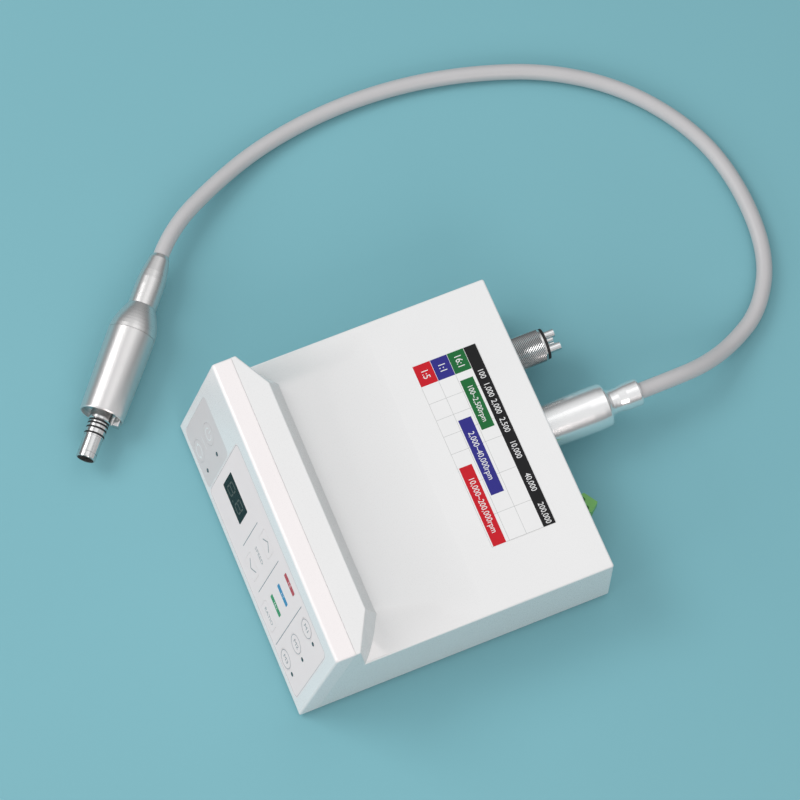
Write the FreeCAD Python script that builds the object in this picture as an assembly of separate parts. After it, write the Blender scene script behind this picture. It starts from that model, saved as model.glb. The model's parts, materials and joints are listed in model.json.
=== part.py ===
import FreeCAD, Part

"""Electric dental micromotor set: a desktop control box, its silicone hose and the motor handpiece.

Frame: millimetres, +Z up, X to the user's right, Y towards the back. The origin is the centre of the
control box's footprint on the table. The front panel leans back from the box's front lower edge.
"""

import math
import os

V = FreeCAD.Vector

# ---- driving dimensions -------------------------------------------------------------------------
BOX_W = 158.0            # width along X
BOX_D = 160.6            # depth along Y
RIDGE_Z = 63.2           # top of the ridge behind the panel
DECK_Z = 42.4            # flat rear deck
FOOT_GAP = 1.5           # housing bottom above the table
WALL = 2.2
EDGE_R = 0.8             # rounding of the housing's outer edges
CORNER_R = 1.1           # rounding of the rear upright corners
BEZEL_R = 1.2            # rounding of the bezel's front rim at its sides and foot
BEZEL_TOP_R = 1.9        # rounding of the bezel's front rim along the top
PANEL_SET_BACK = 21.0    # how far the panel's top edge lies behind its bottom edge
BEZEL_DEPTH = 9.8        # depth of the front bezel along Y
RIDGE_END_Y = 12.0       # ridge width along Y at its ends
RIDGE_MID_Y = 21.8       # ridge width along Y in the middle
RIDGE_CHAMFER_X = 18.7   # plan chamfer of the ridge's rear corners
HUMP_RISE = 11.2         # how far the hump stands above the deck where it meets the ridge
HUMP_BACK_Y = 17.0       # where the hump has sunk into the deck
HUMP_HALF_X = 61.0       # half width of the hump's crown at the ridge
PORT_Z = 21.0            # height of both rear port axes
HOSE_PORT_X = -3.8
UNIT_PORT_X = -44.0
MOTOR_TAIL = V(-163.7, -55.8, 11.92)  # origin of the motor's own axis, 2 mm behind its tail end
MOTOR_HEADING = -39.8                 # direction of the motor's nose in plan, degrees from +X
MOTOR_R_REAR = 11.9
MOTOR_R_FRONT = 11.1
HOSE_R = 4.0
KEY_TRAVEL = 0.3
KEY_GAP = 0.12           # hairline between a key and the film round it

HALF_W = BOX_W / 2
HALF_D = BOX_D / 2
LEAN = math.atan2(PANEL_SET_BACK, RIDGE_Z)
SPLIT_GAP = 0.05         # between the bezel and the upper housing
RIDGE_FRONT_Y = -HALF_D + PANEL_SET_BACK

# ---- layout of the front panel: u along X, s up the slope from the lower front edge --------------
FILM_T = 0.5
FILM_TOP = -0.1
FILM_RECESS = FILM_TOP - FILM_T
BEZEL_T = 2.4
LIGHT_FILM = (-41.0, 72.5, 6.0, 58.7)
GREY_FILM = (-74.0, -41.6, 6.0, 44.2)
WINDOW = (-35.0, -13.0, 24.0, 38.4)
ROUND_KEYS = {"key_power": (-59.3, 30.9, 5.6), "key_direction": (-59.3, 12.7, 5.6),
              "key_memory_1": (54.1, 49.6, 5.3), "key_memory_2": (54.1, 31.4, 5.3),
              "key_memory_3": (54.1, 13.2, 5.3)}
SQUARE_KEYS = {"key_speed_up": (7.0, 44.2, 12.0, 10.0), "key_speed_down": (7.0, 18.3, 12.0, 10.0),
               "key_ratio": (31.6, 14.0, 14.0, 9.0)}
RATIO_BARS = {"ratio_lens_red": (31.6, 51.0), "ratio_lens_blue": (31.6, 38.8),
              "ratio_lens_green": (31.6, 26.6)}
RATIO_BAR_SIZE = (11.4, 3.2)
LEDS = [(-48.2, 31.1), (-48.2, 13.2), (62.1, 49.6), (62.1, 31.2), (62.1, 13.2)]
LED_R = 1.15
BOARD_FRONT = -7.0
BOARD_T = 1.6
BOARD_RECT = (-70.0, 70.0, 8.0, 57.0)
BOARD_SCREW_SPOTS = [(-67.0, 54.0), (67.0, 54.5), (-67.0, 21.8), (67.5, 10.5)]

# ---- insides of the control box ------------------------------------------------------------------
FLOOR_T = 2.4
FLOOR_TOP = FOOT_GAP + FLOOR_T
MAIN_BOARD = (-62.0, 58.0, -44.0, 42.0)
MAIN_BOARD_Z = 10.0
STANDOFF_SPOTS = [(-57.0, -39.0), (53.0, -39.0), (-57.0, 37.0), (53.0, 37.0)]
BASE_SCREW_SPOTS = [(-70.0, -52.0), (70.0, -52.0), (-70.0, 70.0), (70.0, 70.0)]
FOOT_SPOTS = [(-62.0, -62.0), (62.0, -62.0), (-62.0, 62.0), (62.0, 62.0)]


# ---- helpers -------------------------------------------------------------------------------------
def box(x0, x1, y0, y1, z0, z1):
    return Part.makeBox(x1 - x0, y1 - y0, z1 - z0, V(x0, y0, z0))


def rod(radius, start, direction, length):
    return Part.makeCylinder(radius, length, start, direction)


def fuse(shapes):
    first, rest = shapes[0], shapes[1:]
    return first.fuse(rest).removeSplitter() if rest else first


def cut(shape, tools):
    return shape.cut(tools) if tools else shape


def group(shapes):
    """Several separate solids of one kind in one node."""
    solids = []
    for shape in shapes:
        solids.extend(shape.Solids)
    return Part.makeCompound(solids)


def slab(u0, u1, s0, s1, z0, z1, corner=0.0):
    """Rectangular plate with rounded corners, thickness along Z."""
    plate = box(u0, u1, s0, s1, z0, z1)
    if corner > 0:
        upright = [e for e in plate.Edges if abs(e.tangentAt(e.FirstParameter).z) > 0.99]
        plate = plate.makeFillet(corner, upright)
    return plate


def lathe(outline):
    """Solid of revolution about Z from (height, radius) points."""
    points = [V(radius, 0, height) for height, radius in outline]
    face = Part.Face(Part.makePolygon(points + [points[0]]))
    return face.revolve(V(0, 0, 0), V(0, 0, 1), 360)


def ring(outer, inner, low, high):
    return lathe([(low, inner), (low, outer), (high, outer), (high, inner)])


def torus(major, minor, height):
    return Part.makeTorus(major, minor, V(0, 0, height), V(0, 0, 1))


def hexagon(across_flats, low, high):
    radius = across_flats / math.sqrt(3)
    corners = [V(radius * math.cos(math.radians(60 * i)), radius * math.sin(math.radians(60 * i)), low)
               for i in range(7)]
    return Part.Face(Part.makePolygon(corners)).extrude(V(0, 0, high - low))


def placed(shape, placement):
    moved = shape.copy()
    moved.Placement = placement.multiply(moved.Placement)
    return moved


PANEL = FreeCAD.Placement(V(0, -HALF_D, 0), FreeCAD.Rotation(V(1, 0, 0), 90 - math.degrees(LEAN)))
REAR = FreeCAD.Rotation(V(1, 0, 0), -90)       # turns local +Z to +Y
HOSE_PORT = FreeCAD.Placement(V(HOSE_PORT_X, HALF_D, PORT_Z), REAR)
UNIT_PORT = FreeCAD.Placement(V(UNIT_PORT_X, HALF_D, PORT_Z), REAR)
NOSE = V(math.cos(math.radians(MOTOR_HEADING)), math.sin(math.radians(MOTOR_HEADING)), 0)
MOTOR = FreeCAD.Placement(MOTOR_TAIL, FreeCAD.Rotation(V(0, 0, 1), V(0, 0, 1).cross(NOSE) * -1, NOSE, "ZXY"))


def on_panel(shape):
    return placed(shape, PANEL)


def front_y(z):
    """Y of the panel plane at height z."""
    return -HALF_D + z * math.tan(LEAN)


def split_y(z):
    return front_y(z) + BEZEL_DEPTH


# ---- outer form of the housing -------------------------------------------------------------------
def side_prism(outline, half_width):
    """Prism along X from a (y, z) outline."""
    points = [V(-half_width, y, z) for y, z in outline]
    return Part.Face(Part.makePolygon(points + [points[0]])).extrude(V(2 * half_width, 0, 0))


def hump_height(x, y):
    """Height of the hump: highest where it meets the ridge, sinking into the deck at its back and sides."""
    foot_y = RIDGE_FRONT_Y + RIDGE_MID_Y + 4.7
    along = max((HUMP_BACK_Y - y) / (HUMP_BACK_Y - foot_y), 0.0)
    power = 1.45
    if along > 1:
        rise = HUMP_RISE * (1 + 0.06 * power * (1 - math.exp((1 - along) / 0.06)))
    else:
        rise = HUMP_RISE * along ** power
    side = HALF_W - EDGE_R
    crown = HUMP_HALF_X + 0.09 * (y - foot_y)
    across = (side - abs(x)) / (side - crown)
    soft = 0.2
    if across > 1 + soft:
        shoulder = 1.0
    elif across > 1 - soft:
        shoulder = across - (across - 1 + soft) ** 2 / (4 * soft)
    else:
        shoulder = across
    return DECK_Z - 0.02 + rise * shoulder


def hump():
    """Solid under a smooth patch, a little sunk into the flat deck."""
    step_x, step_y = 2.0, 3.0
    across = [-80 + step_x * i for i in range(81)]
    along = [-54 + step_y * i for i in range(26)]
    grid = [[V(x, y, hump_height(x, y)) for y in along] for x in across]
    patch = Part.BSplineSurface()
    patch.interpolate(grid)
    under = patch.toShape().extrude(V(0, 0, -20))
    half = HALF_W - EDGE_R - 0.1
    return under.common(box(-half, half, -51, HUMP_BACK_Y - 0.5, DECK_Z - 3, DECK_Z + 30))


def ridge_block():
    """The ridge: its rear faces lean back and its rear corners are chamfered in plan."""
    low_z = 40.0
    drop = RIDGE_Z - low_z

    def outline(z, mid_back, corner_out, end_back):
        fall = RIDGE_Z - z
        front = split_y(z) + SPLIT_GAP
        back_end = RIDGE_FRONT_Y + RIDGE_END_Y + end_back
        back_mid = RIDGE_FRONT_Y + RIDGE_MID_Y + mid_back
        corner = HALF_W - RIDGE_CHAMFER_X + corner_out
        spots = [(-HALF_W, front), (HALF_W, front), (HALF_W, back_end), (corner, back_mid),
                 (-corner, back_mid), (-HALF_W, back_end)]
        points = [V(x, y, RIDGE_Z - fall) for x, y in spots]
        return Part.makePolygon(points + [points[0]])

    top = outline(RIDGE_Z, 0.0, 0.0, 0.0)
    foot = outline(low_z, 0.49 * drop, 0.10 * drop, 0.086 * drop)
    block = Part.makeLoft([foot, top], True, True)
    rounded = []
    for edge in block.Edges:
        ends = [v.Point for v in edge.Vertexes]
        on_top = all(abs(p.z - RIDGE_Z) < 0.01 for p in ends)
        at_split = all(p.y < split_y(p.z) + 0.2 for p in ends)
        upright = abs(ends[0].z - ends[1].z) > 1
        if (on_top or upright) and not at_split:
            rounded.append(edge)
    return block.makeFillet(EDGE_R, rounded)


def rear_body():
    """Lower body with the flat deck; its deck edges and rear corners are rounded."""
    front = split_y(FOOT_GAP) + SPLIT_GAP
    outline = [(front, FOOT_GAP), (split_y(DECK_Z) + SPLIT_GAP, DECK_Z), (HALF_D, DECK_Z), (HALF_D, FOOT_GAP)]
    body = side_prism(outline, HALF_W)
    corners = [e for e in body.Edges if abs(e.tangentAt(e.FirstParameter).z) > 0.99]
    body = body.makeFillet(CORNER_R, corners)
    rim = []
    for edge in body.Edges:
        spots = edge.discretize(3)
        if all(p.z > DECK_Z - 0.01 for p in spots) and max(p.y for p in spots) > 0:
            rim.append(edge)
    return body.makeFillet(EDGE_R, rim)


def housing_cavity():
    """Inside of the upper housing: follows the outside one wall thickness below."""
    inner_w = HALF_W - WALL
    back = HALF_D - WALL
    low = box(-inner_w, inner_w, -HALF_D, back, FOOT_GAP - 1, DECK_Z - WALL)
    hump = side_prism([(-HALF_D, 36.0), (-HALF_D, DECK_Z + HUMP_RISE - 2.0 - WALL),
                       (-33.0, DECK_Z + HUMP_RISE - 2.0 - WALL), (6.0, DECK_Z - WALL), (6.0, 36.0)],
                      HUMP_HALF_X - 4.0)
    ridge = side_prism([(-HALF_D, 40.0), (-HALF_D, RIDGE_Z - WALL), (-49.6, RIDGE_Z - WALL),
                        (-46.8, 40.0)], inner_w)
    ridge_middle = side_prism([(-HALF_D, 40.0), (-HALF_D, RIDGE_Z - WALL), (-39.0, RIDGE_Z - WALL),
                               (-29.0, 40.0)], HALF_W - RIDGE_CHAMFER_X - 2.5)
    behind_split = side_prism([(split_y(0) - 0.5, 0.0), (split_y(70) - 0.5, 70.0), (90.0, 70.0),
                               (90.0, 0.0)], HALF_W + 5)
    return fuse([low, hump, ridge, ridge_middle]).common(behind_split)


def upper_housing():
    behind_split = side_prism([(split_y(0) + SPLIT_GAP, 0.0), (split_y(70) + SPLIT_GAP, 70.0), (90.0, 70.0),
                               (90.0, 0.0)], HALF_W + 5)
    shell = fuse([rear_body(), hump(), ridge_block()]).common(behind_split)
    shell = shell.cut(housing_cavity())
    bosses = []
    for x, y in BASE_SCREW_SPOTS:
        bosses.append(rod(4.0, V(x, y, FLOOR_TOP + 0.05), V(0, 0, 1), DECK_Z - FLOOR_TOP - 1.0))
        wall_x = math.copysign(HALF_W - 1.0, x)
        bosses.append(box(min(x, wall_x), max(x, wall_x), y - 1, y + 1, FLOOR_TOP + 0.05, DECK_Z - 3))
    shell = fuse([shell] + bosses)
    holes = [rod(1.25, V(x, y, FLOOR_TOP - 1), V(0, 0, 1), 16.0) for x, y in BASE_SCREW_SPOTS]
    holes.append(rod(8.05, V(UNIT_PORT_X, HALF_D - 10, PORT_Z), V(0, 1, 0), 20.0))
    holes.append(rod(8.05, V(HOSE_PORT_X, HALF_D - 10, PORT_Z), V(0, 1, 0), 20.0))
    holes.append(box(31.5, 44.9, HALF_D - 10, HALF_D + 5, 9.9, 19.9))
    return shell.cut(holes)


# ---- front bezel and its pieces ------------------------------------------------------------------
def key_hole(name, grow, low, high):
    if name in ROUND_KEYS:
        u, s, radius = ROUND_KEYS[name]
        return rod(radius + grow, V(u, s, low), V(0, 0, 1), high - low)
    u, s, width, height = SQUARE_KEYS[name]
    return slab(u - width / 2 - grow, u + width / 2 + grow, s - height / 2 - grow,
                s + height / 2 + grow, low, high, 1.5 + grow)


def key_names():
    return list(ROUND_KEYS) + list(SQUARE_KEYS)


def panel_openings(low, high):
    """Everything that passes through the films and the bezel."""
    tools = [key_hole(name, KEY_GAP, low, high) for name in key_names()]
    u0, u1, s0, s1 = WINDOW
    tools.append(slab(u0, u1, s0, s1, low, high, 0.8))
    bar_w, bar_h = RATIO_BAR_SIZE
    for u, s in RATIO_BARS.values():
        tools.append(slab(u - bar_w / 2, u + bar_w / 2, s - bar_h / 2, s + bar_h / 2, low, high, 0.6))
    tools += [rod(LED_R, V(u, s, low), V(0, 0, 1), high - low) for u, s in LEDS]
    return tools


def front_bezel():
    outer = side_prism([(front_y(FOOT_GAP), FOOT_GAP), (front_y(RIDGE_Z), RIDGE_Z),
                        (split_y(RIDGE_Z), RIDGE_Z), (split_y(FOOT_GAP), FOOT_GAP)], HALF_W)

    def rim(solid, lowest, highest):
        return [e for e in solid.Edges
                if all(abs(p.Point.y - front_y(p.Point.z)) < 0.01 for p in e.Vertexes)
                and lowest < (e.BoundBox.ZMin + e.BoundBox.ZMax) / 2 < highest]

    outer = outer.makeFillet(BEZEL_TOP_R, rim(outer, RIDGE_Z - 1, RIDGE_Z + 1))
    outer = outer.makeFillet(BEZEL_R, rim(outer, 0, RIDGE_Z - 5))
    room = side_prism([(front_y(FOOT_GAP + WALL) + 2.53, FOOT_GAP + WALL),
                       (front_y(RIDGE_Z - WALL) + 2.53, RIDGE_Z - WALL),
                       (split_y(RIDGE_Z - WALL) + 1, RIDGE_Z - WALL),
                       (split_y(FOOT_GAP + WALL) + 1, FOOT_GAP + WALL)], HALF_W - WALL)
    shell = outer.cut(room)
    posts = [rod(3.0, V(u, s, BOARD_FRONT), V(0, 0, 1), -BEZEL_T - BOARD_FRONT + 0.5)
             for u, s in BOARD_SCREW_SPOTS]
    tongues = []
    for x in (-45.0, 0.0, 45.0):
        back = split_y(RIDGE_Z)
        tongues.append(box(x - 8, x + 8, back - 5, back + 6, RIDGE_Z - WALL - 2.0, RIDGE_Z - WALL - 0.2))
        tongues.append(box(x - 8, x + 8, back - 5, back - 1, RIDGE_Z - WALL - 1.0, RIDGE_Z - WALL + 0.6))
    shell = fuse([shell] + tongues + [on_panel(part) for part in posts])
    light = slab(*LIGHT_FILM, FILM_RECESS, 1.0, 3.05)
    grey = slab(*GREY_FILM, FILM_RECESS, 1.0, 3.05)
    pilots = [rod(0.85, V(u, s, BOARD_FRONT - 1), V(0, 0, 1), 4.5) for u, s in BOARD_SCREW_SPOTS]
    groove = box(-HALF_W - 1, HALF_W + 1, split_y(RIDGE_Z) - 0.3, split_y(RIDGE_Z) + 1,
                 RIDGE_Z - 0.3, RIDGE_Z + 1)
    tools = [on_panel(part) for part in [light, grey] + pilots + panel_openings(-BEZEL_T - 1, 1.0)]
    return shell.cut(tools + [groove])


def film(bounds):
    u0, u1, s0, s1 = bounds
    sheet = slab(u0 + 0.05, u1 - 0.05, s0 + 0.05, s1 - 0.05, FILM_RECESS, FILM_TOP, 3.0)
    return on_panel(sheet.cut(panel_openings(-BEZEL_T - 1, 1.0)))


def key(name):
    """Cap flush with the film, a retaining flange behind the bezel and a stem over its switch."""
    cap = key_hole(name, 0.0, -BEZEL_T - 0.5, FILM_TOP)
    flange = key_hole(name, 0.9, -BEZEL_T - 1.0, -BEZEL_T - 0.1)
    u, s = (ROUND_KEYS.get(name) or SQUARE_KEYS[name])[:2]
    stem = rod(1.5, V(u, s, -4.6), V(0, 0, 1), 1.6)
    return on_panel(fuse([cap, flange, stem]))


def display_window():
    u0, u1, s0, s1 = WINDOW
    pane = slab(u0 + 0.05, u1 - 0.05, s0 + 0.05, s1 - 0.05, -BEZEL_T - 0.02, FILM_TOP, 0.75)
    lip = slab(u0 - 1.0, u1 + 1.0, s0 - 1.0, s1 + 1.0, -BEZEL_T - 0.8, -BEZEL_T - 0.02, 1.0)
    return on_panel(fuse([pane, lip]))


def digit_bars(u, s):
    """The seven bars of one digit, drawn about its centre."""
    wide, tall, bar = 5.0, 5.0, 0.9
    flat = [(0.0, tall), (0.0, 0.0), (0.0, -tall)]
    upright = [(-wide / 2 - 0.3, tall / 2), (wide / 2 + 0.3, tall / 2), (-wide / 2 - 0.3, -tall / 2),
               (wide / 2 + 0.3, -tall / 2)]
    low, high = -BEZEL_T - 1.2, -BEZEL_T - 0.9
    bars = [slab(u + x - wide / 2 + 0.4, u + x + wide / 2 - 0.4, s + y - bar / 2, s + y + bar / 2,
                 low, high) for x, y in flat]
    bars += [slab(u + x - bar / 2, u + x + bar / 2, s + y - tall / 2 + 0.5, s + y + tall / 2 - 0.5,
                  low, high) for x, y in upright]
    return bars


def display_module():
    """Two seven-bar digits standing proud of a dark block on the keypad board."""
    u0, u1, s0, s1 = WINDOW
    block = slab(u0, u1, s0, s1, BOARD_FRONT + 0.02, -BEZEL_T - 1.1)
    middle = (s0 + s1) / 2
    bars = digit_bars(u0 + 6.2, middle) + digit_bars(u1 - 6.6, middle)
    return on_panel(fuse([block] + bars))


def ratio_lens(spot):
    u, s = spot
    bar_w, bar_h = RATIO_BAR_SIZE
    lens = slab(u - bar_w / 2 + 0.05, u + bar_w / 2 - 0.05, s - bar_h / 2 + 0.05,
                s + bar_h / 2 - 0.05, BOARD_FRONT + 0.02, FILM_TOP + 0.02, 0.55)
    return on_panel(lens)


def indicator_leds():
    length = FILM_TOP + 0.05 - BOARD_FRONT - 0.02
    return group([on_panel(rod(LED_R - 0.05, V(u, s, BOARD_FRONT + 0.02), V(0, 0, 1), length))
                  for u, s in LEDS])


def key_centres():
    return [(ROUND_KEYS.get(name) or SQUARE_KEYS[name])[:2] for name in key_names()]


def tactile_switches():
    """One square switch with a round actuator under each key."""
    switches = []
    for u, s in key_centres():
        body = slab(u - 3, u + 3, s - 3, s + 3, BOARD_FRONT + 0.02, -5.3)
        actuator = rod(1.7, V(u, s, -5.4), V(0, 0, 1), 0.45)
        switches.append(on_panel(fuse([body, actuator])))
    return group(switches)


def keypad_board():
    board = slab(*BOARD_RECT, BOARD_FRONT - BOARD_T, BOARD_FRONT, 1.0)
    board = board.cut([rod(1.3, V(u, s, -12), V(0, 0, 1), 8) for u, s in BOARD_SCREW_SPOTS])
    return on_panel(board)


def small_screw(length, head_r=2.2, head_h=1.6, shank_r=0.8):
    """Pan-head screw: head above the local origin, shank below it."""
    head = rod(head_r, V(0, 0, 0), V(0, 0, 1), head_h)
    slot = box(-head_r, head_r, -0.25, 0.25, head_h - 0.7, head_h + 1)
    cross = box(-0.25, 0.25, -head_r, head_r, head_h - 0.7, head_h + 1)
    shank = rod(shank_r, V(0, 0, -length), V(0, 0, 1), length + 0.1)
    return fuse([head, shank]).cut([slot, cross])


def board_screws():
    """Screws of both circuit boards."""
    flipped = FreeCAD.Rotation(V(1, 0, 0), 180)
    screws = []
    for u, s in BOARD_SCREW_SPOTS:
        spot = FreeCAD.Placement(V(u, s, BOARD_FRONT - BOARD_T), flipped)
        screws.append(on_panel(placed(small_screw(4.5), spot)))
    for x, y in STANDOFF_SPOTS:
        spot = FreeCAD.Placement(V(x, y, MAIN_BOARD_Z + BOARD_T), FreeCAD.Rotation())
        screws.append(placed(small_screw(6.0), spot))
    return group(screws)


# ---- base ----------------------------------------------------------------------------------------
def base_plate():
    clear = 0.2
    half_w = HALF_W - WALL - clear
    back = HALF_D - WALL - clear
    plate = side_prism([(split_y(FOOT_GAP) + clear, FOOT_GAP), (split_y(FLOOR_TOP) + clear, FLOOR_TOP),
                        (back, FLOOR_TOP), (back, FOOT_GAP)], half_w)
    standoffs = [rod(3.0, V(x, y, FLOOR_TOP - 0.5), V(0, 0, 1), MAIN_BOARD_Z - FLOOR_TOP + 0.5)
                 for x, y in STANDOFF_SPOTS]
    plate = fuse([plate] + standoffs)
    tools = [rod(0.85, V(x, y, FLOOR_TOP + 0.5), V(0, 0, 1), 10) for x, y in STANDOFF_SPOTS]
    for x, y in BASE_SCREW_SPOTS:
        tools.append(rod(1.6, V(x, y, 0), V(0, 0, 1), 10))
        tools.append(rod(3.1, V(x, y, 0), V(0, 0, 1), FOOT_GAP + 1.2))
    tools += [rod(6.05, V(x, y, 0), V(0, 0, 1), FOOT_GAP + 0.8) for x, y in FOOT_SPOTS]
    for i in range(9):
        y = -30.0 + 7.5 * i
        tools.append(slab(-24.0, 24.0, y - 1.2, y + 1.2, 0, 10, 1.1))
    return plate.cut(tools)


def rubber_feet():
    feet = []
    for x, y in FOOT_SPOTS:
        foot = lathe([(0.0, 0.0), (0.0, 5.4), (0.5, 6.0), (FOOT_GAP + 0.8, 6.0), (FOOT_GAP + 0.8, 0.0)])
        feet.append(placed(foot, FreeCAD.Placement(V(x, y, 0), FreeCAD.Rotation())))
    return group(feet)


def base_screws():
    flipped = FreeCAD.Rotation(V(1, 0, 0), 180)
    spots = [FreeCAD.Placement(V(x, y, FOOT_GAP + 1.2), flipped) for x, y in BASE_SCREW_SPOTS]
    return group([placed(small_screw(10.0, 2.9, 1.0, 1.2), spot) for spot in spots])


# ---- electronics and air ---------------------------------------------------------------------------
def main_board():
    board = slab(*MAIN_BOARD, MAIN_BOARD_Z, MAIN_BOARD_Z + BOARD_T, 2.0)
    return board.cut([rod(1.3, V(x, y, 0), V(0, 0, 1), 20) for x, y in STANDOFF_SPOTS])


BOARD_TOP = MAIN_BOARD_Z + BOARD_T + 0.02


def heat_sink():
    """Finned block over the motor driver."""
    x0, x1, y0, y1 = -50.0, -14.0, -8.0, 20.0
    foot = box(x0, x1, y0, y1, BOARD_TOP + 1.5, BOARD_TOP + 4.5)
    fins = [box(x0 + 4.25 * i, x0 + 4.25 * i + 2.0, y0, y1, BOARD_TOP + 4.0, BOARD_TOP + 18.0)
            for i in range(9)]
    return fuse([foot] + fins)


def driver_chips():
    """Driver transistors under the heat sink, the processor and the header blocks."""
    chips = [box(-47.0 + 11.0 * i, -39.0 + 11.0 * i, -3.0, 7.0, BOARD_TOP, BOARD_TOP + 1.48)
             for i in range(3)]
    chips.append(box(-4.0, 10.0, 0.0, 14.0, BOARD_TOP, BOARD_TOP + 1.6))
    chips.append(box(22.0, 30.0, -20.0, -8.0, BOARD_TOP, BOARD_TOP + 2.2))
    chips.append(box(36.0, 44.0, -20.0, -8.0, BOARD_TOP, BOARD_TOP + 2.2))
    chips.append(box(-20.0, 20.0, -40.0, -33.0, BOARD_TOP, BOARD_TOP + 8.0))
    return group(chips)


def power_capacitors():
    cans = []
    for x, y in [(26.0, 12.0), (40.0, 12.0), (26.0, 27.0)]:
        can = lathe([(0, 0), (0, 6.2), (2.0, 6.2), (2.6, 5.8), (3.2, 6.2), (19.4, 6.2), (20.0, 5.6), (20.0, 0)])
        cans.append(placed(can, FreeCAD.Placement(V(x, y, BOARD_TOP), FreeCAD.Rotation())))
    return group(cans)


def flat_strip(route, width, thickness):
    """Flat cable along (y, z) points, with square bends."""
    half = thickness / 2
    spans = []
    for (y0, z0), (y1, z1) in zip(route, route[1:]):
        spans.append(box(-width / 2, width / 2, min(y0, y1) - half, max(y0, y1) + half,
                         min(z0, z1) - half, max(z0, z1) + half))
    return fuse(spans)


def ribbon_cable():
    """Flat cable from the keypad board down to the header on the main board."""
    board_back_y = front_y(34.0) + (-BOARD_FRONT + BOARD_T) / math.cos(LEAN)
    top_z = 34.0
    header_top = BOARD_TOP + 8.0
    route = [(board_back_y + 0.75, top_z), (-36.5, top_z), (-36.5, header_top + 0.45)]
    return flat_strip(route, 26.0, 0.8)


def pressure_sensor():
    """Air pressure sensor with a barbed port pointing up."""
    body = box(-49.0, -37.0, 25.0, 37.0, BOARD_TOP, BOARD_TOP + 6.0)
    port = placed(lathe([(0, 0), (0, 1.8), (4, 1.8), (4, 2.2), (7, 1.6), (7, 0)]),
                  FreeCAD.Placement(V(-43.0, 31.0, BOARD_TOP + 5.9), FreeCAD.Rotation()))
    return fuse([body, port])


def air_manifold():
    """Block behind the unit port that feeds the two valves."""
    block = box(UNIT_PORT_X - 16.0, UNIT_PORT_X + 16.0, 53.0, 67.9, 12.0, 30.0)
    top_port = rod(2.0, V(UNIT_PORT_X + 1.0, 60.0, 29.9), V(0, 0, 1), 1.6)
    side_port = rod(2.0, V(UNIT_PORT_X + 15.9, 60.0, PORT_Z), V(1, 0, 0), 4.1)
    socket = rod(5.05, V(UNIT_PORT_X, 65.5, PORT_Z), V(0, 1, 0), 5.0)
    return fuse([block, top_port, side_port]).cut(socket)


def solenoid_valves():
    """Air valve and water valve, each a coil can on a square foot, beside the manifold."""
    valves = []
    for z in (14.0, 29.0):
        foot = box(-76.0, UNIT_PORT_X - 16.05, 52.5, 65.5, z - 6.5, z + 6.5)
        coil = rod(6.2, V(-68.6, 52.6, z), V(0, -1, 0), 20.0)
        valves.append(fuse([foot, coil]))
    return group(valves)


def bent_tube(points, radius):
    """Straight runs joined by tangent arcs; returns the solid, its path length and its radii."""
    edges = []
    radii = []
    start = points[0]
    for before, corner, after in zip(points, points[1:], points[2:]):
        into, out = corner - before, after - corner
        turn = into.getAngle(out)
        reach = 0.45 * min(into.Length, out.Length)
        into.normalize()
        out.normalize()
        first, last = corner - into * reach, corner + out * reach
        bend = reach / math.tan(turn / 2)
        towards = out - into
        towards.normalize()
        centre = corner + towards * (bend / math.cos(turn / 2))
        inward = corner - centre
        inward.normalize()
        edges.append(Part.makeLine(start, first))
        edges.append(Part.Arc(first, centre + inward * bend, last).toShape())
        radii.append(bend)
        start = last
    edges.append(Part.makeLine(start, points[-1]))
    path = Part.Wire(edges)
    heading = points[1] - points[0]
    circle = Part.Wire(Part.makeCircle(radius, points[0], heading))
    tube = path.makePipeShell([circle], True, False, 1)
    return tube, path.Length, radii


def internal_tubes():
    """Two silicone tubes: manifold to the hose socket, and manifold to the pressure sensor."""
    supply = [V(UNIT_PORT_X + 20.0, 60.0, PORT_Z), V(-12.5, 60.0, PORT_Z), V(HOSE_PORT_X, 61.5, PORT_Z),
              V(HOSE_PORT_X, HALF_D - 12.0, PORT_Z)]
    signal_x = UNIT_PORT_X + 1.0
    signal = [V(signal_x, 60.0, 31.5), V(signal_x, 60.0, 38.0), V(signal_x, 31.0, 38.0),
              V(signal_x, 31.0, BOARD_TOP + 12.9)]
    return group([bent_tube(supply, 1.9)[0], bent_tube(signal, 1.9)[0]])


# ---- rear ports ------------------------------------------------------------------------------------
THREAD_R = 8.0
STUB_END = 17.4          # rear wall to the stub's end face
THREAD_START = 0.35      # the thread's undercut ends just outside the rear wall


def on_port(shape, port):
    return placed(shape, port)


def unit_tube_spots():
    """(across, up, radius, length beyond the gasket) of the four connector tubes."""
    return [(-3.7, 0.4, 2.1, 5.8), (3.7, 0.4, 2.1, 6.2), (0.2, 3.5, 1.0, 3.6), (0.0, -3.3, 1.0, 4.6)]


def stub_body():
    """Standard four-hole connector back end: thread outside, flange and threaded tail inside."""
    undercut = THREAD_R - 0.4
    body = lathe([(-14.6, 0), (-14.6, 5.0), (-8.2, 5.0), (-8.2, 10.5), (-WALL - 0.05, 10.5),
                  (-WALL - 0.05, undercut), (THREAD_START, undercut), (THREAD_START, THREAD_R),
                  (STUB_END - 0.3, THREAD_R), (STUB_END, THREAD_R - 0.3), (STUB_END, 0)])
    holes = [rod(r + 0.02, V(x, -up, -1.0), V(0, 0, 1), 30) for x, up, r, reach in unit_tube_spots()]
    return on_port(body.cut(holes), UNIT_PORT)


def stub_nut():
    """Lock nut on the stub's tail, between its flange and the air block."""
    nut = hexagon(16.0, -12.3, -8.25).cut(rod(5.03, V(0, 0, -14), V(0, 0, 1), 10))
    return on_port(nut, UNIT_PORT)


def stub_gasket():
    disc = ring(THREAD_R - 0.2, 0.0, STUB_END + 0.02, STUB_END + 1.2)
    holes = [rod(r + 0.02, V(x, -up, 0), V(0, 0, 1), 30) for x, up, r, reach in unit_tube_spots()]
    return on_port(disc.cut(holes), UNIT_PORT)


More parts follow.
